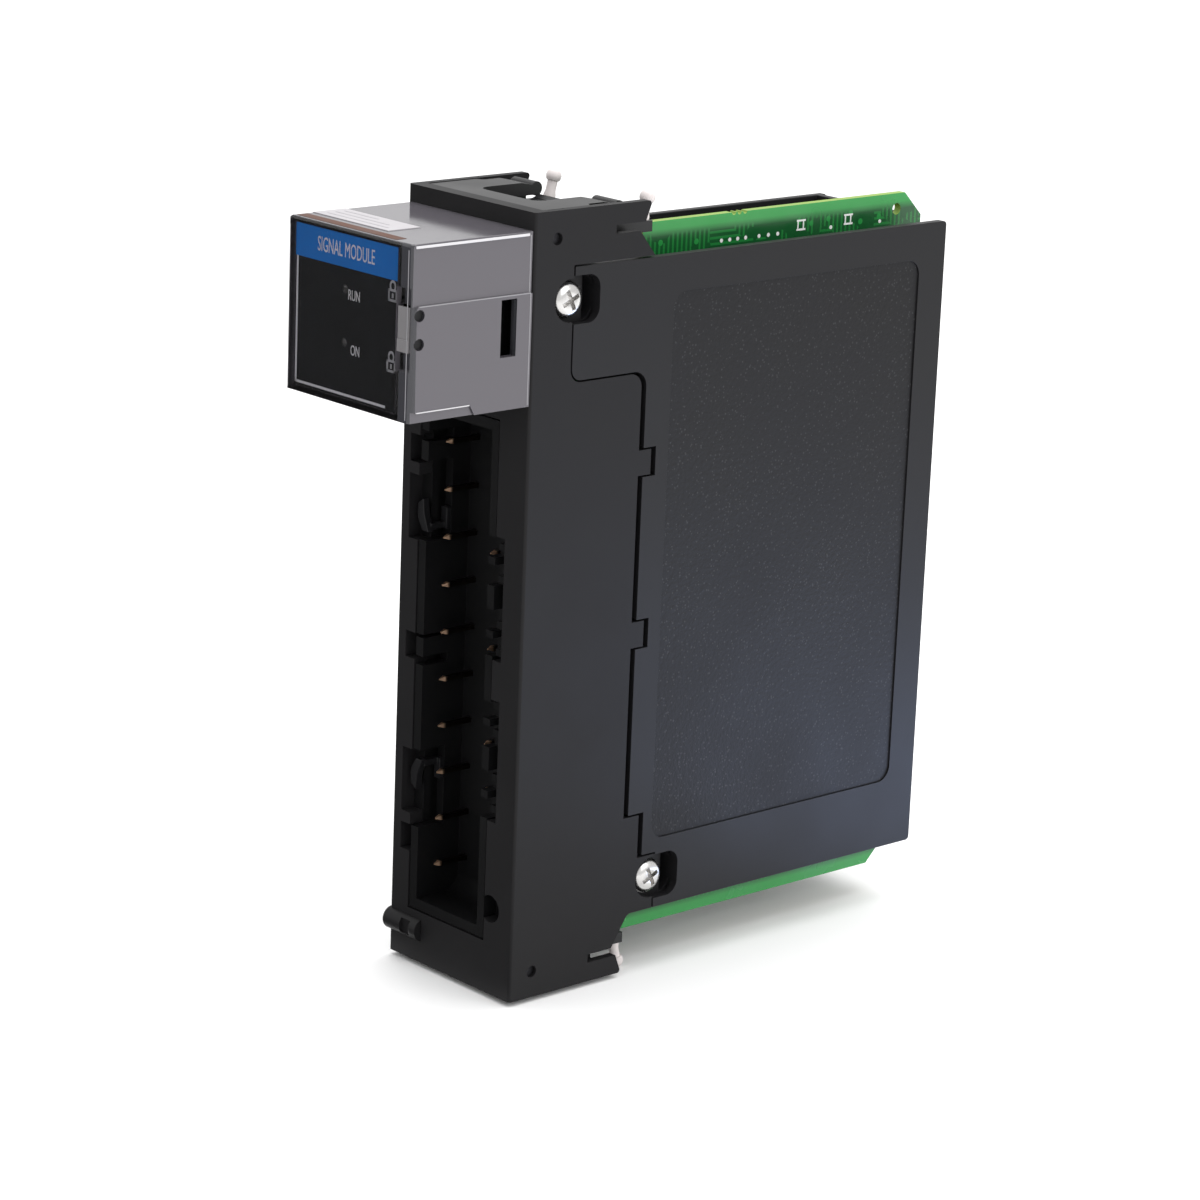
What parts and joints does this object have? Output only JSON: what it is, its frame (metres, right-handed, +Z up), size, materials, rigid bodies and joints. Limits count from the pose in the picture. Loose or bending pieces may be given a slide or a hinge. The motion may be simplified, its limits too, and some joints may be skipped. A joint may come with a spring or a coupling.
{
  "type": "plug-in analogue module",
  "caption": "Slim plug-in controller module: clear status box, pin header pocket for a terminal block, screwed side covers over a card-edge circuit board, thumb latches above and below.",
  "frame": {"origin": "centre of the module's footprint, on the underside of the front housing", "axes": "+Z up along the bezel, -Y out of the bezel towards the user, +Y towards the backplane, +X to the side with the flat screwed cover"},
  "size_m": [0.0354, 0.1324, 0.1476],
  "materials": {
    "housing_plastic": "moulded, fine satin grain",
    "cover_plastic": "moulded, spark-eroded grain",
    "latch_plastic": "moulded, satin",
    "header_plastic": "moulded, satin black",
    "core_plastic": "moulded, satin black",
    "clear_plastic": "polished clear polycarbonate",
    "catch_nylon": "natural nylon",
    "board_laminate": "green solder mask",
    "screw_steel": "bright nickel plate",
    "pivot_steel": "plain bright steel",
    "insert_brass": "turned",
    "pin_metal": "gold flash",
    "legend_print": "black print on film",
    "band_print": "blue print on film",
    "label_paper": "white paper label",
    "led_resin": "clear epoxy",
    "ribbon_film": "flat cable jacket",
    "chip_epoxy": "moulded epoxy",
    "optocoupler_resin": "white moulded resin",
    "can_aluminium": "drawn can",
    "can_steel": "tinned can"
  },
  "bodies": {
    "module_frame": {"front_housing": "housing_plastic", "right_cover": "cover_plastic", "left_cover": "cover_plastic", "cover_screws": "screw_steel", "screw_inserts": "insert_brass", "circuit_board": "board_laminate", "terminal_header": "header_plastic", "terminal_pins": "pin_metal", "key_clips": "header_plastic", "hinge_lug": "housing_plastic", "top_latch_pin": "pivot_steel", "top_latch_spring": "pivot_steel", "bottom_latch_pin": "pivot_steel", "bottom_latch_spring": "pivot_steel", "display_lens": "clear_plastic", "display_core": "core_plastic", "light_pipes": "clear_plastic", "legend_card": "legend_print", "legend_band": "band_print", "top_label": "label_paper", "status_board": "board_laminate", "status_leds": "led_resin", "status_ribbon": "ribbon_film", "backplane_plug": "header_plastic", "plug_contacts": "pin_metal", "power_module": "chip_epoxy", "isolation_transformers": "chip_epoxy", "optocouplers": "optocoupler_resin", "filter_capacitors": "can_aluminium", "controller_chip": "chip_epoxy", "converter_chips": "chip_epoxy", "reference_crystal": "can_steel"},
    "upper_latch": {"top_latch": "latch_plastic", "top_latch_catches": "catch_nylon"},
    "lower_latch": {"bottom_latch": "latch_plastic", "bottom_latch_catches": "catch_nylon"},
    "lock_slider": {"locking_tab": "clear_plastic"}
  },
  "joints": [
    {"name": "upper_latch_press", "type": "hinge", "parent": "module_frame", "child": "upper_latch", "pos_m": [0, -0.03405, 0.1406], "axis": [-1, 0, 0], "range_deg": [0, 8], "stiffness_Nm_per_rad": 0.15, "springref_deg": -11.46, "deforming": ["top_latch_spring"]},
    {"name": "lower_latch_press", "type": "hinge", "parent": "module_frame", "child": "lower_latch", "pos_m": [0, -0.03405, 0.005], "axis": [1, 0, 0], "range_deg": [0, 8], "stiffness_Nm_per_rad": 0.15, "springref_deg": -11.46, "deforming": ["bottom_latch_spring"]},
    {"name": "lock_slide", "type": "slide", "parent": "module_frame", "child": "lock_slider", "axis": [0, 0, 1], "range_m": [-0.003, 0.003]}
  ]
}
